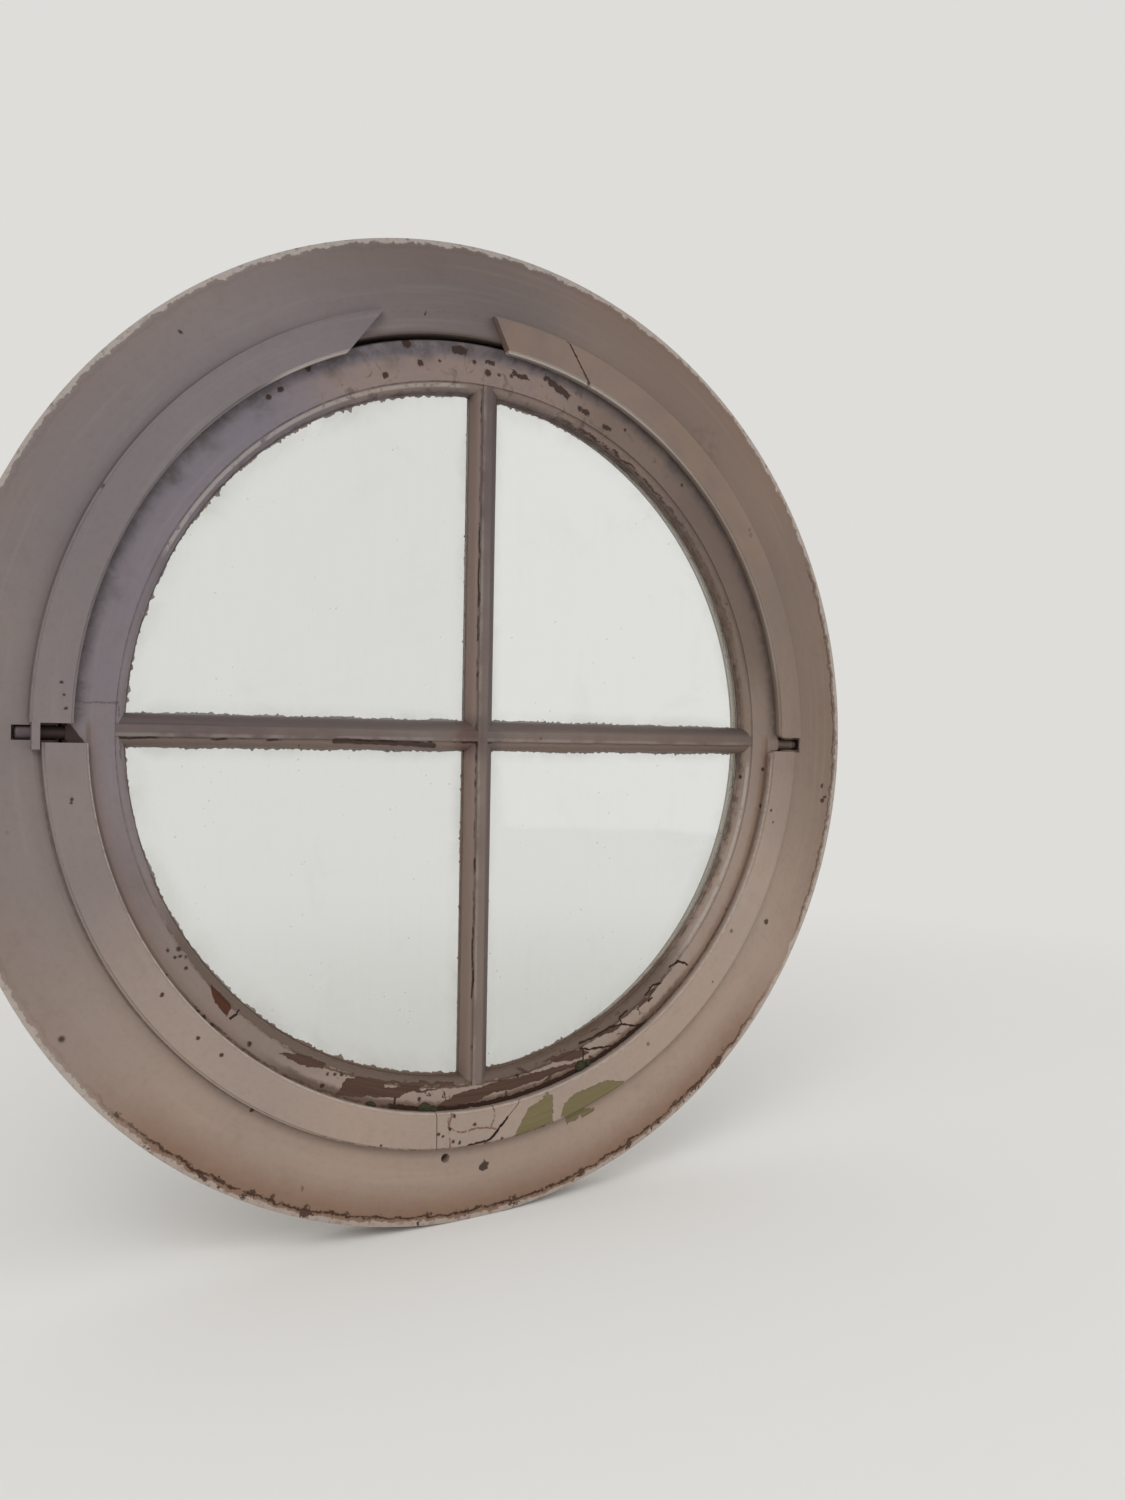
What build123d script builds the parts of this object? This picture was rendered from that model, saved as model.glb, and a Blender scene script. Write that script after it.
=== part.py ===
from build123d import *
import os
from math import cos, radians, sin

# A round timber window that turns on two pins at mid height: its top swings out to the
# street and its bottom into the room. Units are millimetres. The centre of the frame ring,
# at half its depth, is the origin. +X is right as seen from the room, +Y points to the
# street and +Z is up. Angles count from +X towards +Z.

# Rings, from the glass outwards
sight_r = 295.0
ovolo_r = 8.0
ovolo_step = 1.0
quirk = 1.5
rim_width = 34.0
edge_gap = 5.0
frame_width = 77.0
arris = 1.5

# Depths
frame_depth = 36.0
stop_gap = 0.4
glass_set_back = 14.0
glass_thick = 3.0
glass_edge_gap = 1.0

# Glazing bars
bar_nose = 9.0
bar_nose_set_back = 1.0
bar_web = 7.0
tenon_length = 17.0
tenon_front = 8.0
tenon_depth = 10.0
tenon_root = 1.0

# Putty and the sprigs that hold the panes
putty_rise = 16.0
putty_gap = 0.3
putty_sight_gap = 0.5
sprig_d = 1.6
sprig_length = 13.0
sprig_bite = 7.0
sprig_angles = (24.0, 66.0)

# Joints of the rings: where a piece ends on the room side and on the street side
frame_joints = ((6.3, 14.3), (86.0, 94.0), (173.7, 165.7), (274.0, 282.0))
frame_names = ("frame_upper_right", "frame_upper_left", "frame_lower_left", "frame_lower_right")
sash_joints = ((44.0, 51.0), (136.0, 129.0), (224.0, 231.0), (316.0, 309.0))
sash_names = ("sash_rim_top", "sash_rim_left", "sash_rim_bottom", "sash_rim_right")
frame_peg_d = 9.0
frame_peg_in = 27.0
frame_peg_spacing = 32.0
sash_peg_d = 8.0
sash_peg_inset = 17.0

# Pins and bearings
pivot_z = -3.0
pivot_set_back = 5.5
pin_d = 10.0
left_pin_reach = 28.0
right_pin_reach = 19.0
pin_end_r = 2.0
tang_gap = 2.0
bearing_clearance = 0.4
bearing_end_gap = 2.5
bearing_wall = 3.6
screw_d = 3.4
screw_head_d = 6.0
screw_head_h = 1.6
screw_length = 14.0
tang_screw_in = 6.0
block_half = 20.5
block_depth = 20.0

# Beads that stop the sash, on the room side and on the street side
room_bead_thick = 8.0
street_bead_thick = 10.0
bead_round = 2.0
frame_bead_lap = 4.7
frame_bead_width = 29.1
street_frame_bead_width = 24.7
sash_bead_lap = 11.5
sash_bead_width = 31.2
room_slot_half = 7.0
street_slot_half = 21.0
tongue_gap = 1.0
tongue_width = 5.5
tongue_drop = 12.0
crack = 0.8
cut_overrun = 8.0
slot_corner_r = 5.0

# Breaks and joints of the room-side beads: the angles at a bead's inner and outer edge
break_left = (113.3, 106.1)
break_right = (87.2, 89.8)
upper_joint = (72.5, 78.2)
lower_joint_left = (262.5, 263.2)
lower_joint_right = (277.0, 270.7)

# Nails through the beads
nail_d = 2.2
nail_length = 30.0
nail_sink = 1.0
frame_nail_in = 9.5
sash_nail_in = 7.5
upper_nail_angles = (8.0, 24.0, 40.0, 56.0, 69.0, 82.0, 117.0, 132.0, 147.0, 162.0, 172.0)
lower_nail_angles = (188.0, 203.0, 218.0, 233.0, 248.0, 258.0, 267.0, 279.0, 292.0, 306.0, 320.0, 334.0, 350.0)
street_nails = slice(1, -1)

# A hole drilled through the frame near its lowest point
drilled_hole_d = 8.0
drilled_hole_in = 21.2
drilled_hole_angle = 265.3

# Worked out from the sizes above
face_inner_r = sight_r + ovolo_step + ovolo_r
sash_outer_r = face_inner_r + rim_width
frame_inner_r = sash_outer_r + edge_gap
frame_outer_r = frame_inner_r + frame_width
room_y = -frame_depth / 2
street_y = frame_depth / 2
sash_room_y = room_y + stop_gap
sash_street_y = street_y - stop_gap
glass_y = room_y + glass_set_back
glass_back_y = glass_y + glass_thick
bar_half = bar_nose / 2 + ovolo_r
bar_nose_y = room_y + bar_nose_set_back
pivot_y = room_y + pivot_set_back
tenon_y = room_y + tenon_front
block_back_y = room_y + block_depth
frame_bead_r = sash_outer_r - frame_bead_lap
sash_bead_outer_r = frame_inner_r + sash_bead_lap
sash_bead_r = sash_bead_outer_r - sash_bead_width
side_sign = {"left": -1, "right": 1}
pin_reach = {"left": left_pin_reach, "right": right_pin_reach}
tang_start_r = sight_r + tenon_length + tang_gap
far_r = 2 * frame_outer_r


def slab(outline, y_from, y_to):
    """An outline drawn in x and z, as a solid from one depth to another."""
    plane = Plane(origin=(0, y_to, 0), x_dir=(1, 0, 0), z_dir=(0, -1, 0))
    return extrude(plane * outline, y_to - y_from)


def box(x_range, y_range, z_range):
    """A straight block between two values on each axis."""
    sizes = [high - low for low, high in (x_range, y_range, z_range)]
    middle = [(high + low) / 2 for low, high in (x_range, y_range, z_range)]
    return Pos(*middle) * Box(*sizes)


def rod(point, direction, diameter, length):
    """A round rod that starts at a point and runs in a direction."""
    return Plane(origin=point, z_dir=direction) * Cylinder(
        diameter / 2, length, align=(Align.CENTER, Align.CENTER, Align.MIN)
    )


def at_angle(radius, angle, y):
    """The point at a radius and an angle on a plane of one depth."""
    return (radius * cos(radians(angle)), y, radius * sin(radians(angle)))


def pie(start, end):
    """The slice of a disc larger than the window between two angles."""
    rim = CenterArc((0, 0), far_r, start, end - start)
    return make_face(rim + Line((0, 0), rim @ 0) + Line(rim @ 1, (0, 0)))


def ring(profile):
    """Turns a profile, drawn in radius and depth, about the window's centre line."""
    return revolve(make_face(profile), Axis.Y)


def lapped_pieces(blank, names, joints, y_split):
    """Cuts a ring into pieces that overlap at their ends by half the depth."""
    pieces = {}
    for i, name in enumerate(names):
        turn = 360 if i == len(joints) - 1 else 0
        front, back = joints[i]
        next_front, next_back = joints[(i + 1) % len(joints)]
        room_half = slab(pie(front, next_front + turn), -far_r, y_split)
        street_half = slab(pie(back, next_back + turn), y_split, far_r)
        pieces[name] = blank & (room_half + street_half)
    return pieces


def frame_ring():
    """The fixed ring, with its inner room-side edge eased."""
    return ring(
        Polyline(
            (frame_inner_r + arris, room_y),
            (frame_outer_r, room_y),
            (frame_outer_r, street_y),
            (frame_inner_r, street_y),
            (frame_inner_r, room_y + arris),
            close=True,
        )
    )


def sash_ring():
    """The turning ring: a flat face, an ovolo towards the glass and a rebate behind it."""
    step_y = sash_room_y + quirk + ovolo_r
    curve = CenterArc((face_inner_r, step_y), ovolo_r, 180, 90)
    return ring(
        curve
        + Polyline(
            curve @ 1,
            (face_inner_r, sash_room_y),
            (sash_outer_r - arris, sash_room_y),
            (sash_outer_r, sash_room_y + arris),
            (sash_outer_r, sash_street_y),
            (face_inner_r, sash_street_y),
            (face_inner_r, glass_y),
            (sight_r, glass_y),
            (sight_r, step_y),
            curve @ 0,
        )
    )


def upright_bar():
    """A glazing bar along Z: a nose with an ovolo on each side, and a web between the panes."""
    nose = bar_nose / 2
    ovolo_y = bar_nose_y + quirk + ovolo_r
    curve = CenterArc((nose, ovolo_y), ovolo_r, 270, 90)
    half = (
        Polyline((0, bar_nose_y), (nose, bar_nose_y), curve @ 0)
        + curve
        + Polyline(
            curve @ 1,
            (bar_half, glass_y),
            (bar_web / 2, glass_y),
            (bar_web / 2, sash_street_y),
            (0, sash_street_y),
        )
    )
    section = make_face(half + mirror(half, Plane.YZ))
    return extrude(section, face_inner_r, both=True)


def tenons():
    """The tongues at both ends of an upright bar."""
    reach = sight_r + tenon_length
    thin = (-bar_web / 2, bar_web / 2)
    deep = (tenon_y, tenon_y + tenon_depth)
    root = sight_r - tenon_root
    return [box(thin, deep, (root, reach)), box(thin, deep, (-reach, -root))]


def cross_bars(rim):
    """The two bars, halved over each other at the centre and scribed to the rim."""
    bar = upright_bar() - rim
    for tenon in tenons():
        bar += tenon
    lying = Rot(0, 90, 0) * bar
    room_part = slab(Circle(sight_r / 2), -far_r, glass_y)
    street_part = slab(Circle(sight_r / 2), glass_y, far_r)
    return {
        "bar_vertical": bar - (lying & street_part),
        "bar_horizontal": lying - (bar & room_part),
    }


def quadrants():
    """The four panes' names with the signs of x and z that they lie on."""
    return {
        "upper_left": (-1, 1),
        "upper_right": (1, 1),
        "lower_left": (-1, -1),
        "lower_right": (1, -1),
    }


def quarter(radius, edge, signs):
    """A quarter disc whose straight edges lie off the window's centre lines."""
    corner = Pos(edge * signs[0], edge * signs[1])
    aligned = (
        Align.MIN if signs[0] > 0 else Align.MAX,
        Align.MIN if signs[1] > 0 else Align.MAX,
    )
    return Circle(radius) & (corner * Rectangle(far_r, far_r, align=aligned))


def pane(signs):
    """One quarter pane, loose in its rebate by the edge gap."""
    outline = quarter(face_inner_r - glass_edge_gap, bar_web / 2 + glass_edge_gap, signs)
    return slab(outline, glass_y, glass_back_y)


def sprigs(signs):
    """The headless nails that lie on a pane's street side and bite into the rim."""
    made = []
    for angle in sprig_angles:
        across = at_angle(face_inner_r + sprig_bite - sprig_length, angle, glass_back_y + sprig_d / 2)
        start = (signs[0] * across[0], across[1], signs[1] * across[2])
        way = at_angle(1, angle, 0)
        made.append(rod(start, (signs[0] * way[0], 0, signs[1] * way[2]), sprig_d, sprig_length))
    return made


def putty(signs):
    """The sloping fillet of putty round one pane, with room for its sprigs."""
    top_y = glass_back_y + putty_rise
    outer = face_inner_r - putty_gap
    side = bar_web / 2 + putty_gap
    round_part = ring(
        Polyline((outer, glass_back_y), (sight_r + putty_sight_gap, glass_back_y), (outer, top_y), close=True)
    )
    wedge = make_face(
        Polyline((side, glass_back_y), (bar_half - putty_sight_gap, glass_back_y), (side, top_y), close=True)
    )
    upright = extrude(wedge, outer, both=True)
    upright += mirror(upright, Plane.YZ)
    whole = round_part + upright + Rot(0, 90, 0) * upright
    made = whole & slab(quarter(outer, side, signs), glass_back_y, top_y)
    for sprig in sprigs(signs):
        made -= sprig
    return made


def pivot_block_space(side):
    """The part of the rim's face that a pivot block takes, level with the horizontal bar."""
    ends = sorted((0, side_sign[side] * far_r))
    return box(ends, (-far_r, block_back_y), (-block_half, block_half))


def pivot_block(side, rim):
    """A wooden block let into the rim's face, behind the moulding, to carry the pin."""
    behind_moulding = slab(Circle(far_r) - Circle(face_inner_r), -far_r, far_r)
    return rim & behind_moulding & pivot_block_space(side)


def screw(point):
    """A countersunk screw driven towards the street, its head flush at a point."""
    x, y, z = point
    head = Plane(origin=point, z_dir=(0, 1, 0)) * Cone(
        screw_head_d / 2, screw_d / 2, screw_head_h, align=(Align.CENTER, Align.CENTER, Align.MIN)
    )
    return head + rod((x, y + screw_head_h, z), (0, 1, 0), screw_d, screw_length - screw_head_h)


def pin_tang(side):
    """The square shank of a pin, let in flush with the sash's face."""
    ends = sorted(side_sign[side] * v for v in (tang_start_r, sash_outer_r))
    high = (pivot_z - pin_d / 2, pivot_z + pin_d / 2)
    return box(ends, (sash_room_y, pivot_y + pin_d / 2), high)


def pin_screws(side):
    """Two screws that hold a shank to its block."""
    places = (tang_start_r + tang_screw_in, sash_outer_r - tang_screw_in)
    return [screw((side_sign[side] * x, sash_room_y, pivot_z)) for x in places]


def pivot_pin(side):
    """A forged pin: a square shank in the sash and a round end that turns in the bearing."""
    start = (side_sign[side] * (sash_outer_r - pin_d / 2), pivot_y, pivot_z)
    length = pin_d / 2 + edge_gap + pin_reach[side]
    round_end = rod(start, (side_sign[side], 0, 0), pin_d, length)
    tip = round_end.edges().filter_by(GeomType.CIRCLE).sort_by(Axis.X)[0 if side == "left" else -1]
    made = pin_tang(side) + fillet(tip, pin_end_r)
    for fixing in pin_screws(side):
        made -= fixing
    return made


def bearing_blank(side, ring_blank):
    """The outline of a bearing let into the frame's face, round at its outer end."""
    half = pin_d / 2 + bearing_clearance + bearing_wall
    end_x = frame_inner_r + pin_reach[side] + bearing_end_gap + bearing_wall
    straight = Pos((end_x - half) / 2, pivot_z) * Rectangle(end_x - half, 2 * half)
    outline = straight + Pos(end_x - half, pivot_z) * Circle(half)
    blank = slab(outline, -far_r, pivot_y + half) & ring_blank
    return blank if side == "right" else mirror(blank, Plane.YZ)


def bearing_screw(side):
    """The screw through the floor of a bearing's groove, under the pin."""
    x = side_sign[side] * (frame_inner_r + pin_reach[side] / 2)
    return screw((x, pivot_y + pin_d / 2 + bearing_clearance, pivot_z))


def bearing(side, ring_blank):
    """An iron bearing with a groove, open to the room, in which the pin lies."""
    groove_r = pin_d / 2 + bearing_clearance
    reach = frame_inner_r + pin_reach[side] + bearing_end_gap
    ends = sorted((0, side_sign[side] * reach))
    floor = rod((0, pivot_y, pivot_z), (side_sign[side], 0, 0), 2 * groove_r, reach)
    mouth = box(ends, (-far_r, pivot_y), (pivot_z - groove_r, pivot_z + groove_r))
    made = bearing_blank(side, ring_blank) - mouth - floor
    return made - bearing_screw(side)


def bead_ring(inner, width, front_y, back_y):
    """A flat bead as a whole ring, with both edges of its open face rounded."""
    outer = inner + width
    way = 1 if front_y < back_y else -1
    shoulder = front_y + way * bead_round
    near = RadiusArc((inner, shoulder), (inner + bead_round, front_y), way * bead_round)
    far = RadiusArc((outer - bead_round, front_y), (outer, shoulder), way * bead_round)
    return ring(
        near
        + Line((inner + bead_round, front_y), (outer - bead_round, front_y))
        + far
        + Polyline((outer, shoulder), (outer, back_y), (inner, back_y), (inner, shoulder))
    )


def above(z):
    """All space above a height."""
    return box((-far_r, far_r), (-far_r, far_r), (z, z + 2 * far_r))


def below(z):
    """All space below a height."""
    return box((-far_r, far_r), (-far_r, far_r), (z - 2 * far_r, z))


def across(angles, inner, width):
    """The line across a bead, a little past both of its edges, for an angle at each edge."""
    near, far = (Vector(r * cos(radians(a)), r * sin(radians(a))) for r, a in zip((inner, inner + width), angles))
    over = (far - near).normalized() * cut_overrun
    return near - over, far + over


def slit(angles, inner, width):
    """A narrow cut across a bead."""
    start, end = across(angles, inner, width)
    side = (end - start).rotate(Axis.Z, 90).normalized() * (crack / 2)
    corners = (start + side, end + side, end - side, start - side)
    return slab(make_face(Polyline(*corners, close=True)), -far_r, far_r)


def lost_stretch():
    """The space between the two broken ends of the upper bead."""
    left_in, left_out = across(break_left, frame_bead_r, frame_bead_width)
    right_in, right_out = across(break_right, frame_bead_r, frame_bead_width)
    return slab(make_face(Polyline(left_in, left_out, right_out, right_in, close=True)), -far_r, far_r)


def corner_cut(inner, z, way):
    """What rounds a bead's inner corner off beside the right pin's gap."""
    reach = way * slot_corner_r
    x = (inner**2 - z**2) ** 0.5
    square = Pos(x, z + reach / 2) * Rectangle(2 * slot_corner_r, slot_corner_r)
    return slab(square - Pos(x + slot_corner_r, z + reach) * Circle(slot_corner_r), -far_r, far_r)


def from_left(shape):
    """The separate solids of a shape, from left to right."""
    return list(shape.solids().sort_by(Axis.X))


def upper_room_beads():
    """The bead on the frame's upper half, broken at the top, with a tongue over the left pin."""
    whole = bead_ring(frame_bead_r, frame_bead_width, room_y - room_bead_thick, room_y)
    tongue_x = -(sash_bead_outer_r + tongue_gap)
    tongue = box(
        (tongue_x - tongue_width, tongue_x),
        (room_y - room_bead_thick, room_y),
        (pivot_z - tongue_drop, pivot_z + room_slot_half + bead_round),
    )
    end_z = pivot_z + room_slot_half
    half = (whole & above(end_z)) + tongue - corner_cut(frame_bead_r, end_z, 1)
    names = ("room_bead_upper_left", "room_bead_upper_short", "room_bead_upper_right")
    joint = slit(upper_joint, frame_bead_r, frame_bead_width)
    return dict(zip(names, from_left(half - lost_stretch() - joint)))


def lower_room_beads():
    """The bead on the sash's lower half, in three lengths. It laps over the frame."""
    whole = bead_ring(sash_bead_r, sash_bead_width, room_y - room_bead_thick, sash_room_y)
    middle_r = (sash_outer_r + frame_inner_r) / 2
    whole -= slab(Circle(far_r) - Circle(middle_r), room_y - stop_gap, sash_room_y)
    end_z = pivot_z - room_slot_half
    half = (whole & below(end_z)) - corner_cut(sash_bead_r, end_z, -1)
    for angles in (lower_joint_left, lower_joint_right):
        half -= slit(angles, sash_bead_r, sash_bead_width)
    names = ("room_bead_lower_left", "room_bead_lower_patch", "room_bead_lower_right")
    return dict(zip(names, from_left(half)))


def street_beads():
    """The beads of the street side: on the sash above the pins and on the frame below."""
    upper = bead_ring(sash_bead_r, sash_bead_width, street_y + street_bead_thick, sash_street_y)
    middle_r = (sash_outer_r + frame_inner_r) / 2
    upper -= slab(Circle(far_r) - Circle(middle_r), sash_street_y, street_y + stop_gap)
    lower = bead_ring(frame_bead_r, street_frame_bead_width, street_y + street_bead_thick, street_y)
    middle_cut = slab(Rectangle(crack, 2 * far_r), -far_r, far_r)
    upper = (upper & above(pivot_z + street_slot_half)) - middle_cut
    lower = (lower & below(pivot_z - street_slot_half)) - middle_cut
    made = dict(zip(("street_bead_upper_left", "street_bead_upper_right"), from_left(upper)))
    made.update(zip(("street_bead_lower_left", "street_bead_lower_right"), from_left(lower)))
    return made


def bead_nails(radius, angles, front_y, way):
    """Headless nails through a bead, set a little below its face."""
    start_y = front_y + way * nail_sink
    return [rod(at_angle(radius, a, start_y), (0, way, 0), nail_d, nail_length) for a in angles]


def frame_nails():
    """The nails of the beads that the frame carries."""
    radius = frame_inner_r + frame_nail_in
    room = bead_nails(radius, upper_nail_angles, room_y - room_bead_thick, 1)
    return room + bead_nails(radius, lower_nail_angles[street_nails], street_y + street_bead_thick, -1)


def sash_nails():
    """The nails of the beads that the sash carries."""
    radius = sash_outer_r - sash_nail_in
    room = bead_nails(radius, lower_nail_angles, room_y - room_bead_thick, 1)
    return room + bead_nails(radius, upper_nail_angles[street_nails], street_y + street_bead_thick, -1)


def frame_pegs():
    """Wooden pegs through the frame's laps, two to a lap."""
    made = []
    for front, back in frame_joints:
        for inset in (frame_peg_in, frame_peg_in + frame_peg_spacing):
            start = at_angle(frame_inner_r + inset, (front + back) / 2, room_y)
            made.append(rod(start, (0, 1, 0), frame_peg_d, frame_depth))
    return made


def sash_pegs():
    """Wooden pegs through the sash's laps, one to a lap."""
    depth = sash_street_y - sash_room_y
    starts = [at_angle(face_inner_r + sash_peg_inset, (f + b) / 2, sash_room_y) for f, b in sash_joints]
    return [rod(start, (0, 1, 0), sash_peg_d, depth) for start in starts]


def drilled_hole():
    """The hole through the frame, from the room to the street."""
    start = at_angle(frame_inner_r + drilled_hole_in, drilled_hole_angle, room_y)
    return rod(start, (0, 1, 0), drilled_hole_d, frame_depth)


def frame_parts():
    """All pieces that stay still."""
    blank = frame_ring()
    sides = ("left", "right")
    nails, pegs = frame_nails(), frame_pegs()
    cuts = [bearing_blank(side, blank) for side in sides]
    cuts += [bearing_screw(side) for side in sides] + nails + pegs + [drilled_hole()]
    made = {n: p - cuts for n, p in lapped_pieces(blank, frame_names, frame_joints, 0).items()}
    beads = upper_room_beads()
    beads.update({n: b for n, b in street_beads().items() if "lower" in n})
    made.update({n: b - nails for n, b in beads.items()})
    made.update({f"bearing_{side}": bearing(side, blank) for side in sides})
    made["bearing_screws"] = Compound(children=[bearing_screw(side) for side in sides])
    made["frame_bead_nails"] = Compound(children=nails)
    made["frame_pegs"] = Compound(children=pegs)
    return made


def sash_parts():
    """All pieces that turn with the sash."""
    blank = sash_ring()
    sides = ("left", "right")
    nails, pegs = sash_nails(), sash_pegs()
    screws = [s for side in sides for s in pin_screws(side)]
    all_sprigs = [s for signs in quadrants().values() for s in sprigs(signs)]
    bars = cross_bars(blank)
    blocks = {f"pivot_block_{side}": pivot_block(side, blank) for side in sides}
    upright_tenons = tenons()
    lying_tenons = [Rot(0, 90, 0) * t for t in upright_tenons]
    cuts = list(blocks.values()) + upright_tenons + lying_tenons + screws + all_sprigs + nails + pegs
    made = {n: p - cuts for n, p in lapped_pieces(blank, sash_names, sash_joints, 0).items()}
    shanks = [pin_tang(side) for side in sides]
    made.update({n: b - (lying_tenons + shanks + screws) for n, b in blocks.items()})
    made.update(bars)
    for name, signs in quadrants().items():
        made[f"pane_{name}"] = pane(signs)
        made[f"putty_{name}"] = putty(signs)
    beads = lower_room_beads()
    beads.update({n: b for n, b in street_beads().items() if "upper" in n})
    made.update({n: b - nails for n, b in beads.items()})
    made.update({f"pivot_pin_{side}": pivot_pin(side) for side in sides})
    made["pivot_screws"] = Compound(children=screws)
    made["glazing_sprigs"] = Compound(children=all_sprigs)
    made["sash_bead_nails"] = Compound(children=nails)
    made["sash_pegs"] = Compound(children=pegs)
    return made


def main():
    os.makedirs("parts", exist_ok=True)
    for name, shape in {**frame_parts(), **sash_parts()}.items():
        export_step(shape, f"parts/{name}.step")


main()
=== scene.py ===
from functools import partial, reduce
from math import asin, cos, degrees, hypot, radians, sin

import bmesh
import bpy
from mathutils import Matrix, Vector, noise


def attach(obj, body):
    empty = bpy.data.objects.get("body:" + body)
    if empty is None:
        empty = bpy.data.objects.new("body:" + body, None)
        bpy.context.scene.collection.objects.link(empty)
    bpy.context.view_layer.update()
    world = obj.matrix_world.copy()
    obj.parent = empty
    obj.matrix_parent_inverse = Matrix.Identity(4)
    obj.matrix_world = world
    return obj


# The looks of a round timber window. Sizes in this file are in millimetres, and MM turns them
# into metres; names that end in _M and the studio are in metres. Angles are in degrees and
# count from +X towards +Z, seen from the room.
MM = 0.001

# Radii of the rings: glass edge, groove of the moulding, sash edge, frame opening and frame edge,
# then the inner and outer radius of the room's beads.
SIGHT_R = 295.0
QUIRK_R = 304.0
SASH_R = 338.0
FRAME_R = 343.0
OUTER_R = 420.0
UPPER_BEAD = (333.3, 362.4)
LOWER_BEAD = (323.3, 354.5)
BAR_HALF = 12.5

# Depths, of which the room has the negative ones: the timber's room face, the glass, where marks
# of the room end, and where the street's wear starts.
ROOM_Y = -18.0
GLASS_Y = -4.0
ROOM_MARKS_END = (-12.0, -8.0)
STREET_WEAR_START = (6.0, 16.0)
FAR_OFF = 3000.0

PAINT_GLOSS = 0.2

# The camera: its place, its turns, and the focal length and picture height in pixels.
CAMERA_M = (-0.4685, -0.9248, -0.001)
CAMERA_YAW, CAMERA_PITCH, CAMERA_ROLL = 31.2, -0.55, 0.99
FOCAL_PIXELS, PICTURE_PIXELS = 1171.7, 1500
SENSOR = 36.0

# The studio, in metres: the backdrop's profile, and how far off it takes one even colour.
FLOOR_NEAR_M, FLOOR_FAR_M, BEND_M, BACKDROP_TOP_M, BACKDROP_SIDES_M = -14.0, 1.5, 0.8, 5.0, (-9.0, 11.0)
EVEN_FROM_M, EVEN_TO_M = 0.6, 2.3
WORLD_LIGHT = 0.62


def srgb(red, green, blue):
    """A colour written in the usual 0 to 255, as the linear values that nodes take."""
    parts = [v / 255 for v in (red, green, blue)]
    return tuple(v / 12.92 if v <= 0.04045 else ((v + 0.055) / 1.055) ** 2.4 for v in parts) + (1.0,)


# Paints, each as the colour of its upper left and of its lower right;
# the change between them is partly painted light and shade.
FRAME_PAINT = srgb(119, 111, 111), srgb(160, 140, 126)
BEAD_PAINT = srgb(117, 109, 111), srgb(163, 144, 131)
RIM_PAINT = srgb(117, 110, 117), srgb(152, 134, 122)
BAR_PAINT = srgb(90, 78, 79), srgb(118, 103, 95)
# Painted shade, for the paint towards the right and the top.
PAINT_SHADE = srgb(62, 42, 28)

# Washes, chips and other surfaces.
PALE = srgb(182, 174, 166)
# The grime, soot and mould colours also serve as painted shade in some washes.
GRIME_AND_SHADE = srgb(90, 71, 60)
SOOT_AND_SHADE = srgb(46, 27, 21)
MOULD_AND_SHADE = srgb(72, 65, 66)
EARTH = srgb(124, 95, 76)
TAN = srgb(142, 121, 108)
WARM_WASH = srgb(133, 111, 96)
BROWN = srgb(90, 74, 64)
WOOD = srgb(86, 63, 51)
WOOD_DARK = srgb(62, 46, 39)
WOOD_RAW = srgb(82, 46, 32)
OLIVE = srgb(120, 109, 78)
OLIVE_DARK = srgb(100, 90, 62)
RUST = srgb(104, 66, 52)
CREVICE = srgb(50, 32, 24)
PUTTY = srgb(186, 178, 163), srgb(150, 141, 126)
LAP = srgb(140, 132, 128), srgb(126, 108, 96)
DUST = srgb(178, 174, 165)
MOSS = srgb(34, 34, 20), srgb(62, 60, 34)
BACKDROP = srgb(222, 221, 218)
FLOOR = srgb(236, 235, 232)

# Where paint has flaked from the sash, as outlines of (x, z) corners on its room face.
RIM_FLAKES = (
    ((-140, -271), (-138, -268), (-161, -256), (-176, -255), (-158, -266)),
    ((-75, -304), (-55, -299), (-102, -284), (-119, -282), (-124, -287), (-129, -294), (-110, -298)),
    ((-55, -302.5), (-23, -302), (-23, -300), (-90, -289), (-83, -293)),
    ((16, -313), (12, -305), (-23, -310), (-38, -317), (-26, -319), (3, -317)),
    ((8, -312), (36, -313), (105, -300), (103, -297), (12, -305)),
    ((101, -295), (116, -289), (106, -286), (84, -289), (67, -293), (80, -294)),
    ((120, -277), (142, -268), (151, -268), (147, -272), (128, -277)),
    ((168, -254), (186, -240), (191, -239), (183, -246), (172, -254)),
)
RIM_ISLANDS = (
    ((-88, -291), (-74, -293.5), (-72, -296), (-86, -295.5)),
    ((-56, -297.5), (-34, -299.5), (-36, -302), (-54, -300.5)),
)
RAW_WEDGE = ((-219, -221), (-215, -214), (-218, -209), (-225, -201), (-231, -195), (-230, -204), (-225, -213))
RIM_CRACKS = (
    ((106, -281), (118, -277.7), (129, -273.5), (140, -269), (151, -268), (165, -270.6), (181, -270)),
    ((106, -285.6), (116, -286.8), (138.5, -286.7)),
    ((107.6, -284.8), (109.4, -290.6), (108.5, -296)),
    ((151, -268), (150, -262), (158, -256)),
    ((179.4, -243.5), (188, -234.6), (195.5, -234)),
    ((186, -246), (181, -249)),
    ((207.3, -219.3), (216.3, -214), (227, -218)),
    ((-76.7, -304.7), (-77.5, -310), (-76.9, -315)),
    ((-215.6, -222.9), (-212, -220.3), (-209.3, -217.3)),
)
# The joints of the pivot block at the left.
BLOCK_JOINTS = (
    ((-326, 19.4), (-302, 19.9)), ((-301.5, 17.5), (-300.9, 10)), ((-299.7, -5.3), (-299.2, -21)),
)
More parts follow.
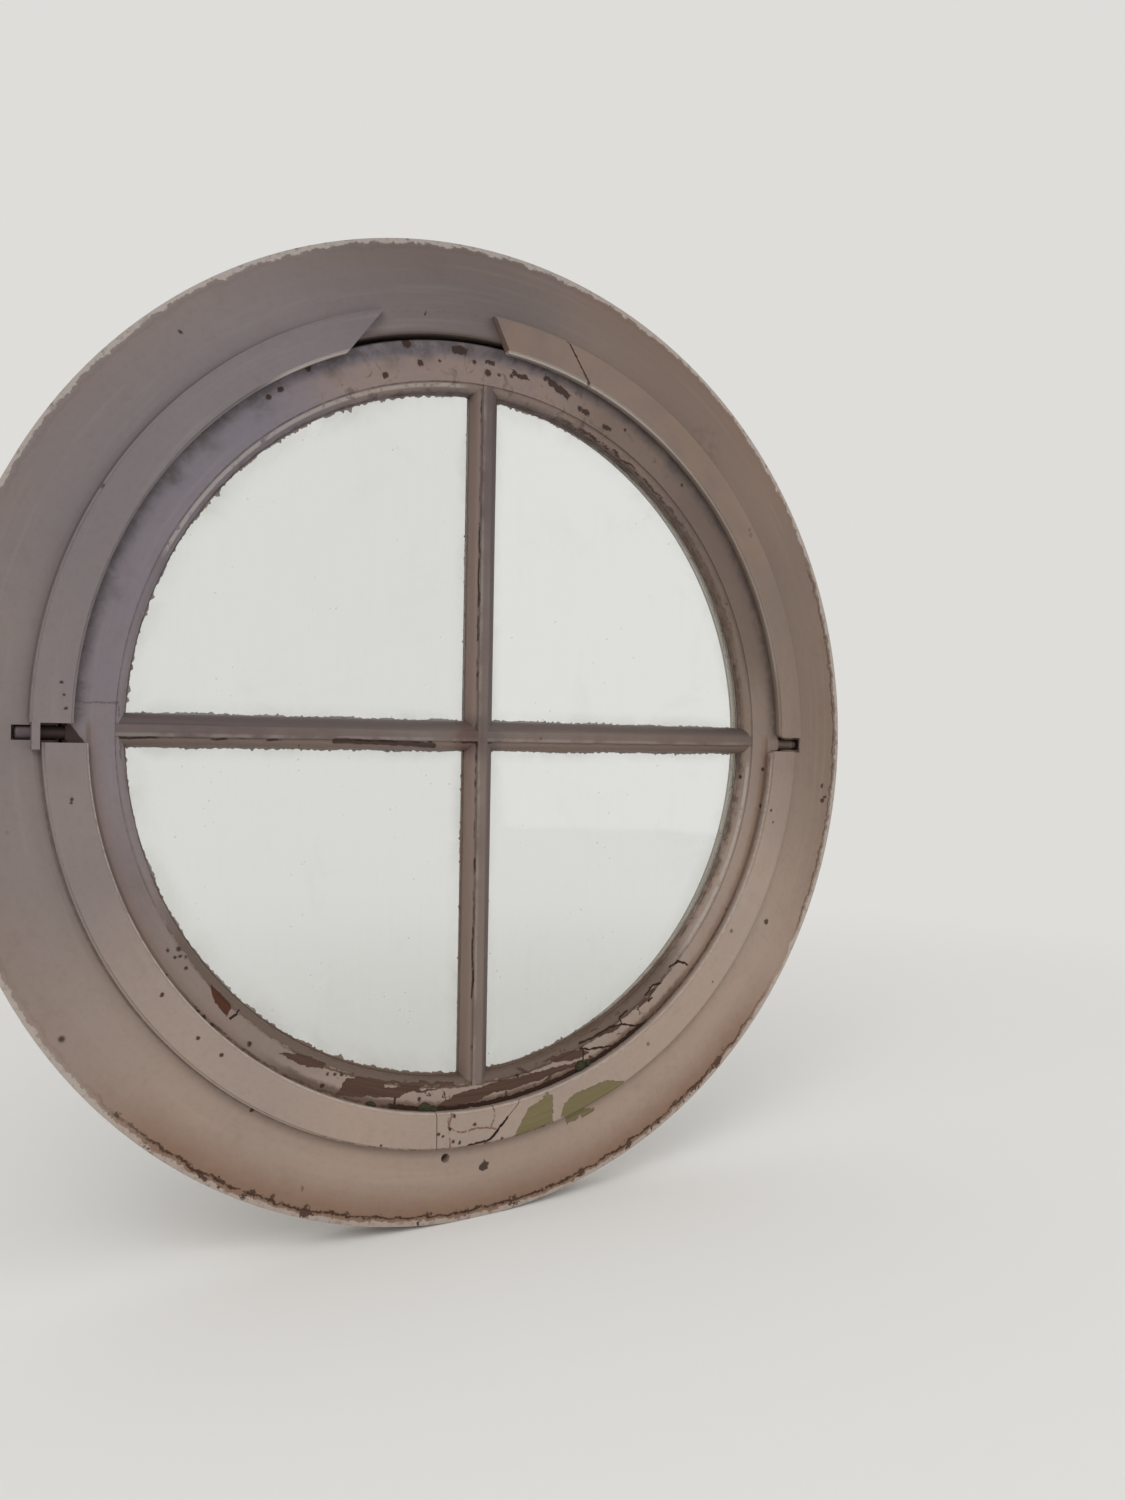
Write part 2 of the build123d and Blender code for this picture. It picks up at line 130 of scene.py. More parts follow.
# Spots on the sash's room face: x, z and radius.
RIM_SPOTS = (
    (-78, 326, 3.8), (-33, 329, 3.2), (-65, 312, 2.8), (-96, 296, 3), (-14, 322, 2), (0.5, 323.5, 1.8),
    (-1, 314.5, 3), (25, 319, 2.5), (22, 316, 1.8), (10, 315, 1.6), (-47, 317, 1.5), (56, 320, 2.2), (93, 299, 2.5),
    (143, 287, 1.5), (-201, -244, 1.8), (-141, -285.3, 2), (-55.3, -308.6, 1.6), (-136.7, -276.1, 1.4),
    (-130.2, -277.4, 1.5), (-124.5, -278.2, 1.4), (-241.2, -214.3, 2), (-236.8, -219.1, 2), (-230.2, -226.5, 2),
    (315.8, -65.2, 1.8), (210, 245, 1.6),
    (-263.6, -165.4, 1.4), (-258.6, -171.4, 1.4), (-255.0, -170.6, 1.5), (-250.5, -172.1, 1.2),
    (-249.9, -180.4, 1.4), (-265.3, -184.6, 1.4), (-193.0, 262.2, 2.2), (-183.9, 269.4, 2.6),
    (-162.0, 290.3, 2.6), (-244.9, 227.5, 1.8),
)
RIM_BLOTS = (
    ((56, 324), (68, 319), (84, 309), (79, 305), (60, 315)), ((-37, 332), (-21, 332), (-23, 325.5), (-35, 325.5)),
    ((20, 322), (36, 319), (40, 315), (30, 315)), ((-4, 325), (6, 326), (5, 322), (-3, 322)),
    ((96, 300), (104, 297), (103, 293), (95, 295)), ((118, 289), (128, 286), (127, 283), (118, 285)),
)
# Soft smoke stains on the sash, as centre x, z and half size.
RIM_SMOKE = (
    (-88, 306, 16), (-140, 292, 14), (-196, 250, 16), (-232, 214, 14), (-60, 316, 14), (-262, 190, 12),
    (-300, 100, 11), (196, 257, 14),
)
# Where the bead and the frame show an older green paint.
OLIVE_PATCHES = (
    ((32, -352), (47, -330), (67, -319), (72, -322), (73, -346), (47, -351)),
    ((83, -331), (94, -324), (127, -316), (147, -318), (150, -322), (125, -334), (93, -342), (81, -342)),
    ((89, -344), (93, -338), (106, -341), (104, -349), (93, -351)),
    ((104, -341), (120, -342), (121, -345), (108, -349)),
)
BEAD_CRACKS = (
    ((-31.3, -325.8), (-30.8, -333.5), (-26, -337.7), (-20.2, -340), (-12.6, -339.8), (-5, -338.5),
     (6.8, -340), (17, -343)),
    ((12.4, -323.7), (13.5, -332.6), (9.7, -339)),
    ((-28, -323.5), (-31, -333), (-30, -346), (-29, -352)),
)
# Joints of the upper and the lower bead, and a dark stroke under the lying bar.
SHORT_JOINT = ((75.8, 353.5), (98.0, 319.2))
BEAD_JOINT = ((26, -333.5), (17, -343.5), (9, -351), (-12, -352.6))
BAR_STROKE = ((-134, -5.8), (-98, -6.4), (-70, -7.2), (-45, -8.8))
BAR_STAIN = (-14.0, 0.0, -2.0)
BEAD_SPOTS = (
    (-341.6, 33.2, 1.2), (-340.2, 24, 0.9), (-338.8, 14.8, 1.3), (-334, -50.6, 1.2), (-334.3, -53, 1.2),
    (-242.9, -232.7, 1.6), (-224.7, -247.8, 1.7), (-40.7, -338.6, 1.4), (-36.2, -340.9, 1.4),
    (-26.6, -346.6, 1.5), (-20.7, -348.4, 1.6),
    (-25.7, -325.4, 1.5), (-92.6, -338.9, 1.3), (-29.8, -335.4, 1.6), (-6.3, -335.1, 1.6), (322.6, -69.5, 1.5),
    (325.6, -81, 1.4), (251.9, -235.9, 1), (53, -352, 1.7), (64, -349, 2.1), (21, -352, 1.6), (-269.1, -197.2, 1.6),
)
FRAME_SPOTS = (
    (7.7, -375.3, 4.2), (340.5, -105.4, 1.5), (326.9, -183.4, 2.6), (-347.3, -40.1, 1.6), (-60.7, 353.6, 1.4),
    (-197.4, -295.5, 1.8), (-260, 300, 1.2), (400, -61, 2.8), (403, -57, 2.2), (399, -46, 2.0),
)
# Moss beside the lower bead: x, z, half length, half height and tilt.
MOSS_CUSHIONS = (
    (-50, -317.6, 6.8, 5.2, -9.0), (-42, -320, 4.0, 3.2, -6.0), (106, -301.0, 6.0, 5.0, 20.0),
    (113, -299.0, 3.6, 3.4, 22.0), (-99, -306.5, 4.6, 2.6, -18.0),
)
# Painted shade in the dark gap between the beads at each pin.
PIN_SHADES = (
    ((-357, 7), (-337, 7), (-334, 3), (-316, -10), (-316, -11.5), (-357, -12)),
    ((357, 6), (366, 6), (366, -11), (357, -11)), ((328, -9), (360, -9), (360, -12), (326, -13)),
)


class Value:
    """An output socket, or what is worked out from sockets and numbers."""

    def __init__(self, shader, socket):
        self.shader = shader
        self.socket = socket

    def __add__(self, other):
        return self.shader.math("ADD", self, other)

    def __sub__(self, other):
        return self.shader.math("SUBTRACT", self, other)

    def __mul__(self, other):
        return self.shader.math("MULTIPLY", self, other)

    def __truediv__(self, other):
        return self.shader.math("DIVIDE", self, other)

    def __rsub__(self, other):
        return self.shader.math("SUBTRACT", other, self)

    __radd__ = __add__
    __rmul__ = __mul__

    def rise(self, low, high):
        """0 below the first value and 1 above the second, with a smooth step between."""
        return self.shader.step(self, low, high)

    def near(self, centre, half, soft):
        """1 within a distance of a value, falling to 0 over a further one."""
        away = self.shader.math("ABSOLUTE", self - centre)
        return self.shader.step(away, half + soft, half)

    def between(self, low, high, soft):
        """1 between two values, with a smooth step outside each."""
        return self.rise(low - soft, low) * self.shader.step(self, high + soft, high)


class Shader:
    """A node material whose patterns follow the window's rings and bars."""

    def __init__(self, name):
        self.material = bpy.data.materials.new(name)
        self.material.use_nodes = True
        self.tree = self.material.node_tree
        self.tree.nodes.clear()
        coordinates = self.tree.nodes.new("ShaderNodeTexCoord")
        self.place = self.vector("SCALE", coordinates.outputs["Object"], scale=1 / MM)
        self.x, self.y, self.z = self.parts(self.place)
        self.ny = self.parts(coordinates.outputs["Normal"])[1]
        self.r = self.math("SQRT", self.x * self.x + self.z * self.z)
        self.angle = self.math("ARCTAN2", self.z, self.x) * degrees(1)

    def plug(self, socket, value):
        """Links a socket to a value, or sets it to a number or colour."""
        value = value.socket if isinstance(value, Value) else value
        if isinstance(value, bpy.types.NodeSocket):
            self.tree.links.new(value, socket)
        else:
            socket.default_value = value

    def node(self, kind, inputs, **settings):
        """A new node with its settings and inputs."""
        made = self.tree.nodes.new(kind)
        for name, value in settings.items():
            setattr(made, name, value)
        for name, value in inputs.items():
            self.plug(made.inputs[name], value)
        return made

    def math(self, operation, *values):
        """A calculation with one or two numbers."""
        inputs = dict(enumerate(values))
        return Value(self, self.node("ShaderNodeMath", inputs, operation=operation).outputs[0])

    def vector(self, operation, *values, scale=None):
        """A calculation with vectors, which gives a vector or one number."""
        inputs = dict(enumerate(values))
        if scale is not None:
            inputs["Scale"] = scale
        made = self.node("ShaderNodeVectorMath", inputs, operation=operation)
        one_number = operation in ("DOT_PRODUCT", "DISTANCE", "LENGTH")
        return Value(self, made.outputs["Value" if one_number else "Vector"])

    def parts(self, vector):
        """The x, y and z of a vector."""
        made = self.node("ShaderNodeSeparateXYZ", {0: vector})
        return [Value(self, s) for s in made.outputs]

    def joined(self, x, y, z):
        """A vector of three numbers."""
        return Value(self, self.node("ShaderNodeCombineXYZ", {0: x, 1: y, 2: z}).outputs[0])

    def step(self, value, low, high):
        """A smooth step from 0 at one value to 1 at another, which may be the smaller."""
        made = self.node("ShaderNodeMapRange", {"Value": value, "From Min": low, "From Max": high})
        made.interpolation_type = "SMOOTHSTEP"
        return Value(self, made.outputs[0])

    def most(self, *values):
        """The largest of several values."""
        return reduce(partial(self.math, "MAXIMUM"), values)

    def clouds(self, size, detail=3.0, rough=0.55, warp=0.0, where=None, shift=0.0):
        """Soft noise between 0 and 1 with features of a size."""
        where = self.place if where is None else where
        if shift:
            where = self.vector("ADD", where, (shift, shift, shift))
        inputs = {"Vector": where, "Scale": 1 / size, "Detail": detail, "Roughness": rough, "Distortion": warp}
        return Value(self, self.node("ShaderNodeTexNoise", inputs).outputs[0])

    def cells(self, size, feature="F1", where=None):
        """The distance to the nearest of many scattered points, or to the lines between their cells."""
        where = self.place if where is None else where
        inputs = {"Vector": where, "Scale": 1 / size, "Randomness": 1.0}
        return Value(self, self.node("ShaderNodeTexVoronoi", inputs, feature=feature).outputs[0])

    def blend(self, amount, first, second):
        """One colour mixed with another."""
        made = self.tree.nodes.new("ShaderNodeMix")
        made.data_type = "RGBA"
        self.plug(made.inputs[0], amount)
        self.plug(made.inputs[6], first)
        self.plug(made.inputs[7], second)
        return Value(self, made.outputs[2])

    def round_strokes(self, along, across):
        """Coordinates stretched along the rings, without a seam."""
        reach = SASH_R / along
        flat = self.math("MAXIMUM", self.r, 1.0)
        return self.joined(self.x / flat * reach, self.z / flat * reach, (self.r + self.y) / across)

    def lying_strokes(self, along, across):
        """Coordinates stretched along the lying bar."""
        return self.joined(self.x / along, self.z / across, self.y / across)

    def upright_strokes(self, along, across):
        """Coordinates stretched along the upright bar."""
        return self.joined(self.z / along, self.x / across, self.y / across)

    def shaken(self, amount, size):
        """The place on the window's face, moved about by noise, so that outlines come out ragged."""
        inputs = {"Vector": self.place, "Scale": 1 / size, "Detail": 4.0, "Roughness": 0.65}
        drift = self.node("ShaderNodeTexNoise", inputs).outputs["Color"]
        push = self.vector("SCALE", self.vector("SUBTRACT", drift, (0.5, 0.5, 0.5)), scale=2 * amount)
        return self.vector("MULTIPLY", self.vector("ADD", self.place, push), (1.0, 0.0, 1.0))

    def room_side(self, where):
        """The same place, but moved far off on the street side, where the room's marks don't show."""
        return self.vector("ADD", where, self.joined(self.y.rise(*ROOM_MARKS_END) * FAR_OFF, 0.0, 0.0))

    def room_shaken(self, amount, size):
        """The moved place for ragged marks that only the room's side has."""
        return self.room_side(self.shaken(amount, size))

    def inside(self, corners, where, soft=0.6):
        """1 inside a convex outline of (x, z) corners."""
        turn = sum(a[0] * b[1] - b[0] * a[1] for a, b in zip(corners, corners[1:] + corners[:1]))
        corners = corners if turn > 0 else corners[::-1]
        beyond = []
        for (ax, az), (bx, bz) in zip(corners, corners[1:] + corners[:1]):
            long = hypot(bx - ax, bz - az)
            out_x, out_z = (bz - az) / long, (ax - bx) / long
            reach = ax * out_x + az * out_z
            beyond.append(self.vector("DOT_PRODUCT", where, (out_x, 0.0, out_z)) - reach)
        return self.step(self.most(*beyond), soft, -soft)

    def along(self, points, half, where, soft=0.5):
        """1 within a distance of a line of (x, z) points."""
        away = []
        for (ax, az), (bx, bz) in zip(points, points[1:]):
            step = (bx - ax, 0.0, bz - az)
            square = step[0] ** 2 + step[2] ** 2
            share = self.vector("DOT_PRODUCT", where, tuple(v / square for v in step))
            share = share - (ax * step[0] + az * step[2]) / square
            share.socket.node.use_clamp = True
            foot = self.vector("ADD", self.vector("SCALE", step, scale=share), (ax, 0.0, az))
            away.append(self.vector("DISTANCE", where, foot))
        return self.step(reduce(partial(self.math, "MINIMUM"), away), half + soft, half)

    def dots(self, spots, where, soft=0.7):
        """1 inside any of the spots (x, z, radius)."""
        return self.most(*(
            self.step(self.vector("DISTANCE", where, (x, 0.0, z)), radius + soft, radius - soft)
            for x, z, radius in spots
        ))

    def patches(self, outlines, where):
        """1 inside any of several outlines."""
        return self.most(*(self.inside(corners, where) for corners in outlines))

    def lines(self, routes, half, where):
        """1 within a distance of any of several lines."""
        return self.most(*(self.along(points, half, where) for points in routes))

    def finish(self, color, roughness, height=None, **fixed):
        """Ends the material in one shader, with a relief whose height is in millimetres."""
        inputs = {"Base Color": color, "Roughness": roughness, **fixed}
        if height is not None:
            bump = self.node("ShaderNodeBump", {"Height": height, "Distance": MM, "Strength": 1.0})
            inputs["Normal"] = bump.outputs[0]
        return self.shown(self.node("ShaderNodeBsdfPrincipled", inputs))

    def shown(self, shader):
        """Ends the material in a shader."""
        self.node("ShaderNodeOutputMaterial", {"Surface": shader.outputs[0]})
        return self.material


def painted(name, strokes, marks, paint):
    """Old oil paint on timber. Marks gives washes over the paint and chips through it, each with its colour."""
    s = Shader(name)
    # The brush's strokes, and unevenness of two sizes.
    fine = s.clouds(1.0, 3.0, 0.6, where=strokes(s, 46.0, 1.3))
    coarse = s.clouds(1.0, 2.0, 0.5, where=strokes(s, 120.0, 5.0), shift=31.0)
    lumps = s.clouds(26.0, 3.0, 0.5)
    wide = s.clouds(140.0, 2.0, 0.5, shift=9.0)

    # The paint goes from cool at the upper left to warm at the lower right, partly as painted light and shade,
    # and is browner towards the right and the top, which is painted shade.
    low = s.step(s.z * 0.75 - s.x * 0.65, 330.0, -190.0)
    right = (s.x * 0.8 + s.z * 0.5).rise(150.0, 330.0) * 0.53
    high = (s.x * 0.55 + s.z * 0.83).rise(140.0, 320.0) * 0.38
    color = s.blend(low + (wide - 0.5) * 0.6, *paint)
    color = s.blend(s.most(right, high), color, PAINT_SHADE)
    mottle = s.clouds(5.0, 4.0, 0.6, shift=41.0)
    color = s.blend(mottle.rise(0.45, 0.75) * 0.1, color, GRIME_AND_SHADE)
    color = s.blend(coarse.rise(0.5, 0.9) * 0.1, color, PALE)
    stains = s.clouds(34.0, 5.0, 0.62, 0.6, shift=4.0).rise(0.5, 0.9) * 0.22
    color = s.blend(stains + fine.rise(0.55, 0.9) * 0.07, color, GRIME_AND_SHADE)
    washes, chips = marks(s)
    for amount, shade in washes:
        color = s.blend(amount, color, shade)

    # Timber under the chips, each with a dark edge where the paint ends, a painted shadow of the paint's edge.
    grain = s.clouds(1.0, 4.0, 0.65, where=strokes(s, 60.0, 0.9), shift=17.0)
    bare = s.most(*(chip[0] for chip in chips))
    rough = fine * 0.1 + 0.44 + bare.rise(0.4, 0.6) * 0.25
    for amount, shade, darker in chips:
        under = s.blend(grain.rise(0.62, 0.3) * 0.6, shade, darker)
        color = s.blend(amount.near(0.42, 0.1, 0.22) * 0.55, color, SOOT_AND_SHADE)
        color = s.blend(amount.rise(0.42, 0.62), color, under)

    covered = s.step(bare, 0.6, 0.35)
    height = (fine * 0.1 + coarse * 0.14 + lumps * 0.4) * covered + (grain * 0.3 - 0.4) * (1.0 - covered)
    return s.finish(color, rough, height, **{"Specular IOR Level": PAINT_GLOSS})


def street_wear(s, grain):
    """The street side: grey, dirty paint that has flaked in many places."""
    out = s.y.rise(*STREET_WEAR_START)
    return out * grain.rise(0.35, 0.75) * 0.45, out * s.clouds(30.0, 6.0, 0.72).rise(0.63, 0.66)


def scattered(s, size, share, shift=0.0):
    """Small dark specks, fewer as the share gets smaller."""
    where = s.vector("ADD", s.place, (shift, 0.0, shift))
    picked = s.clouds(size * 3.0, 1.0, 0.5, shift=shift + 5.0).rise(0.62 - share, 0.66 - share)
    return s.step(s.cells(size, where=where), 0.13, 0.06) * picked


def pin_shade(s):
    """Painted shade in the dark gap at each pin."""
    return s.patches(PIN_SHADES, s.room_shaken(1.2, 6.0))


def older_paint(s):
    """A chip through to the older green paint."""
    return s.patches(OLIVE_PATCHES, s.room_shaken(4.5, 7.0)), OLIVE, OLIVE_DARK


def frame_marks(s):
    """Washes and chips of the frame ring."""
    grain = s.clouds(7.0, 5.0, 0.65, 0.3, shift=11.0)
    ragged = s.shaken(6.0, 11.0)
    r = s.vector("LENGTH", ragged)
    ragged = s.room_side(ragged)
    bottom = s.angle.between(-128.0, -48.0, 16.0)
    street_dirt, street_bare = street_wear(s, grain)
    earth = r.rise(OUTER_R - 44.0, OUTER_R - 3.0) * (bottom * 0.7 + 0.16)
    right_edge = s.angle.between(-26.0, 24.0, 4.0) * 0.7
    crack = r.near(OUTER_R - 7.0, 0.5, 1.2) * grain.rise(0.3, 0.5) * s.most(bottom, right_edge, 0.1)
    pale_edge = r.rise(OUTER_R - 4.2, OUTER_R - 3.0) * grain.rise(0.25, 0.5) * 0.6
    seam_low = s.r.near(LOWER_BEAD[1] + 0.8, 0.3, 1.5) * s.step(s.z, -8.0, -14.0) * grain.rise(0.2, 0.6) * 0.5
    seam_low_wide = s.r.near(LOWER_BEAD[1] + 2.5, 1.0, 7.0) * bottom * 0.2
    seam_high = s.r.near(UPPER_BEAD[1] + 0.6, 0.2, 1.1) * s.z.rise(4.0, 9.0) * 0.42
    seam_high = seam_high * (1.0 - s.angle.between(85.5, 114.0, 0.6))
    lost = s.r.near(UPPER_BEAD[1] - 0.9, 0.4, 1.2) * s.angle.between(86.0, 114.0, 2.0) * grain.rise(0.45, 0.6) * 0.35
    gap = s.r.near(FRAME_R, 1.5, 3.5) * 0.4
    streaks = s.clouds(1.0, 3.0, 0.6, where=s.joined(s.x / 5.0, s.y, s.z / 40.0)).rise(0.55, 0.8)
    right = s.x.near(386.0, 3.0, 8.0) * s.z.near(-40.0, 24.0, 24.0) * streaks * 0.7
    stain = s.x.near(232.0, 10.0, 18.0) * s.z.near(285.0, 10.0, 18.0) * grain.rise(0.4, 0.65) * 0.35
    warm = s.angle.between(38.0, 72.0, 12.0) * 0.3
    specks = s.most(crack, s.dots(FRAME_SPOTS, ragged), scattered(s, 30.0, 0.02)) * 0.88
    washes = [
        (warm, WARM_WASH), (earth, EARTH), (pale_edge, PALE),
        (s.most(seam_low, seam_low_wide, seam_high, lost, gap, right, stain), GRIME_AND_SHADE),
        (specks, SOOT_AND_SHADE), (pin_shade(s) * 0.85, SOOT_AND_SHADE), (street_dirt, GRIME_AND_SHADE),
    ]
    loose = r.near(OUTER_R - 6.0, 2.0, 4.0) * bottom * s.clouds(14.0, 5.0, 0.7, shift=8.0).rise(0.56, 0.62)
    return washes, [(s.most(street_bare, loose), WOOD, WOOD_DARK), older_paint(s)]


def rim_marks(s):
    """Washes and chips of the sash's rim and its pivot blocks."""
    grain = s.clouds(7.0, 5.0, 0.65, 0.3, shift=11.0)
    smoky = s.clouds(13.0, 5.0, 0.65, 0.6, shift=3.0)
    ragged = s.shaken(4.0, 9.0)
    slope_r = s.vector("LENGTH", ragged)
    ragged = s.room_side(ragged)
    tight = s.room_shaken(2.2, 5.0)
    r = s.vector("LENGTH", ragged)
    bottom = s.angle.between(-120.0, -50.0, 8.0)
    upper = s.z.rise(-2.0, 10.0)
    top = s.angle.between(58.0, 112.0, 16.0)
    street_dirt, street_bare = street_wear(s, grain)
    smoke = s.most(*(
        s.step(s.vector("DISTANCE", ragged, (x, 0.0, z)), half, half * 0.2) for x, z, half in RIM_SMOKE
    ))

    bare = s.patches(RIM_FLAKES, ragged) - s.patches(RIM_ISLANDS, ragged)
    loose = r.between(SIGHT_R + 4.0, LOWER_BEAD[0] - 4.3, 2.0) * s.angle.between(-112.0, -58.0, 4.0)
    bare = s.most(bare, loose * s.step(smoky, 0.40, 0.36) * 0.8, street_bare)
    raw = s.inside(RAW_WEDGE, tight)

    # Shade and dirt along the beads: on the upper half, then on the lower.
    shade = r.between(333.0, 345.0, 13.0) * upper * (smoky.rise(0.35, 0.6) * 0.5 + 0.22)
    low_shade = r.near(LOWER_BEAD[0] - 3.3, 1.0, 6.0) * (1.0 - upper) * (s.x.rise(-150.0, 150.0) * 0.3 + 0.25)
    crevice = r.near(LOWER_BEAD[0] - 2.0, 1.3, 1.5) * s.angle.between(-102.0, -60.0, 6.0)
    thin = r.near(LOWER_BEAD[0] - 1.4, 0.3, 1.2) * s.angle.between(-138.0, -32.0, 6.0) * grain.rise(0.36, 0.56) * 0.6
    halo = r.near(LOWER_BEAD[0] - 2.8, 2.0, 4.5) * bottom * 0.8
    seam = s.r.near(LOWER_BEAD[0] - 1.1, 0.8, 1.8) * (1.0 - upper) * 0.45
    # The groove and the slope of the moulding.
    quirk = s.r.near(QUIRK_R - 0.4, 0.25, 0.6) * grain.rise(0.4, 0.6) * (0.45 - s.x.rise(-40.0, 120.0) * 0.37)
    quirk_low = s.vector("LENGTH", tight).near(QUIRK_R - 0.6, 0.5, 0.8) * bottom * 0.9
    moulding = s.step(slope_r, QUIRK_R - 0.4, QUIRK_R - 1.4) * (s.angle.between(-146.0, -50.0, 14.0) * 0.8 + 0.08)
    sight = s.step(slope_r, SIGHT_R + 2.8, SIGHT_R + 0.4) * (smoky.rise(0.35, 0.6) * 0.6 + 0.2)
    mouldy = slope_r.near(SIGHT_R + 2.7, 0.4, 0.8) * s.angle.between(22.0, 72.0, 6.0) * grain.rise(0.36, 0.5)
    mouldy = mouldy * (s.angle.rise(36.0, 60.0) * 0.5 + 0.35)
    # Brown and worn stretches, and a painted highlight along the moulding.
    brown = s.most(s.angle.between(-158.0, -126.0, 14.0) * 0.24, s.angle.between(18.0, 66.0, 14.0) * 0.5)
    brown = brown * r.between(303.0, 332.0, 5.0) * (smoky * 0.6 + 0.7)
    worn = top * r.between(300.0, 321.0, 8.0) * (smoky.rise(0.3, 0.6) * 0.3 + 0.35)
    lit = s.most(s.angle.between(96.0, 152.0, 3.0), s.angle.between(-52.0, -6.0, 3.0))
    light = s.r.near(QUIRK_R - 3.0, 0.9, 1.2) * grain.rise(0.3, 0.5) * lit * 0.55
    smoke = smoke * r.rise(308.0, 328.0) * smoky.rise(0.3, 0.6)
    spots = s.most(s.dots(RIM_SPOTS, tight), s.patches(RIM_BLOTS, ragged), scattered(s, 21.0, 0.03, 3.0))
    edge = s.r.rise(SASH_R - 1.5, SASH_R) * 0.5
    washes = [
        (worn, TAN), (s.lines(BLOCK_JOINTS, 0.45, tight) * 0.55, MOULD_AND_SHADE), (light, PALE),
        (s.most(moulding, brown), BROWN), (shade, MOULD_AND_SHADE), (low_shade, EARTH), (s.most(halo, seam), GRIME_AND_SHADE),
        (s.most(quirk, quirk_low, sight, street_dirt), GRIME_AND_SHADE),
        (s.most(top * smoky.rise(0.54, 0.68), smoke) * 0.6, MOULD_AND_SHADE), (s.most(mouldy, thin), CREVICE),
        (spots * 0.92, SOOT_AND_SHADE), (s.most(edge, pin_shade(s) * 0.9), SOOT_AND_SHADE),
    ]
    deep = s.most(s.lines(RIM_CRACKS, 0.55, tight), crevice)
    return washes, [(bare, WOOD, WOOD_DARK), (raw, WOOD_RAW, WOOD_DARK), (deep, CREVICE, SOOT_AND_SHADE)]


def bar_marks(s, across):
    """Washes and chips of a bar, from the distance across it."""
    grain = s.clouds(6.0, 5.0, 0.65, 0.3, shift=11.0)
    run = s.clouds(26.0, 4.0, 0.6, 0.3)
    street_dirt, street_bare = street_wear(s, grain)
    wave = (s.clouds(15.0, 4.0, 0.65, shift=21.0) - 0.5) * 5.0
    side = s.math("ABSOLUTE", across)
    quirk = (across + wave * 0.7).near(-5.6, 0.5, 0.7) * run.rise(0.44, 0.56) * (0.9 - s.x.rise(0.0, 30.0) * 0.7)
    root = (s.y + wave * 0.6).rise(-8.0, -5.0) * (s.step(across, 0.0, -2.0) * 0.2 + 0.35)
    # Painted shade on the upper or right slope.
    far_side_shade = across.rise(4.5, 7.0) * 0.5
    nose = s.step(side, 4.4, 3.6) * s.step(s.y, -15.5, -16.5)
    edge = across.near(-3.6, 1.2, 1.2) * run.rise(0.34, 0.6) * 0.22
    # Painted shade that grows towards the right.
    far = s.x.rise(30.0, 240.0) * 0.25
    stain = s.step(s.vector("DISTANCE", s.shaken(6.0, 9.0), BAR_STAIN), 20.0, 6.0) * 0.4
    crossing = s.step(s.vector("LENGTH", s.shaken(5.0, 9.0)), 26.0, 12.0) * 0.4
    stroke = s.along(BAR_STROKE, 1.7, s.shaken(1.6, 6.0), 1.0) * run.rise(0.2, 0.4) * 0.8
    # Painted light on the lower or left slope, and a painted highlight on the nose and along one edge of it.
    washes = [
        (s.most(nose * run.rise(0.3, 0.7) * 0.06, edge), PALE), (s.step(across, -4.5, -7.0) * 0.42, TAN),
        (s.most(far_side_shade, crossing), MOULD_AND_SHADE), (stain, WOOD_RAW), (s.most(far, stroke), SOOT_AND_SHADE),
        (s.most(root, street_dirt), GRIME_AND_SHADE), (s.most(quirk, scattered(s, 19.0, 0.03, 3.0) * 0.7), SOOT_AND_SHADE),
    ]
    bare = s.clouds(9.0, 6.0, 0.68, 0.5, shift=7.0).rise(0.69, 0.73) * s.step(nose, 0.5, 0.0)
    return washes, [(s.most(bare, street_bare), WOOD, WOOD_DARK)]


def lying_marks(s):
    return bar_marks(s, s.z)


def upright_marks(s):
    return bar_marks(s, s.x)


def bead_marks(s):
    """Washes and chips of the beads on both sides."""
    grain = s.clouds(6.0, 5.0, 0.65, 0.4, shift=13.0)
    smoky = s.clouds(40.0, 4.0, 0.6, 0.5, shift=13.0)
    tight = s.room_shaken(2.0, 5.0)
    street_dirt, street_bare = street_wear(s, grain)
    face = s.step(s.math("ABSOLUTE", s.ny), 0.8, 0.3)
    lower = s.step(s.z, -6.0, -8.0)
    # Painted shade on the beads' sides, near where they meet the frame or the sash.
    root = s.math("ABSOLUTE", s.y).rise(23.5, 18.5) * face * 0.3
    warm = s.angle.between(32.0, 86.0, 8.0) * (smoky.rise(0.3, 0.6) * 0.3 + 0.35)
    # Painted highlights along the inner edges of the beads, on the room side only.
    light = s.r.near(UPPER_BEAD[0] + 1.0, 0.7, 0.8) * s.angle.between(14.0, 122.0, 6.0)
    light = light * (s.angle.rise(36.0, 76.0) * 0.55 + 0.25)
    highlight_low = s.r.near(LOWER_BEAD[0] + 0.6, 0.3, 0.9) * lower * grain.rise(0.35, 0.6) * 0.4
    chips_in = s.vector("LENGTH", tight).near(LOWER_BEAD[1] - 0.4, 0.2, 0.8) * s.angle.between(-112.0, -70.0, 4.0)
    cracks = s.lines(BEAD_CRACKS, 0.6, tight) * grain.rise(0.36, 0.52) * 0.8
    washes = [
        (warm, WARM_WASH), (s.most(light, highlight_low) * s.step(s.y, -8.0, -14.0), PALE),
        (s.most(root, street_dirt, chips_in * grain.rise(0.4, 0.55) * 0.7), GRIME_AND_SHADE),
        (cracks, RUST), (s.along(BEAD_JOINT, 0.8, tight), SOOT_AND_SHADE),
        (s.along(SHORT_JOINT, 0.5, tight) * 0.8, CREVICE),
        (s.most(s.dots(BEAD_SPOTS, tight) * 0.92, scattered(s, 27.0, 0.02, 8.0) * 0.7), SOOT_AND_SHADE),
    ]
    return washes, [(street_bare, WOOD, WOOD_DARK), older_paint(s)]


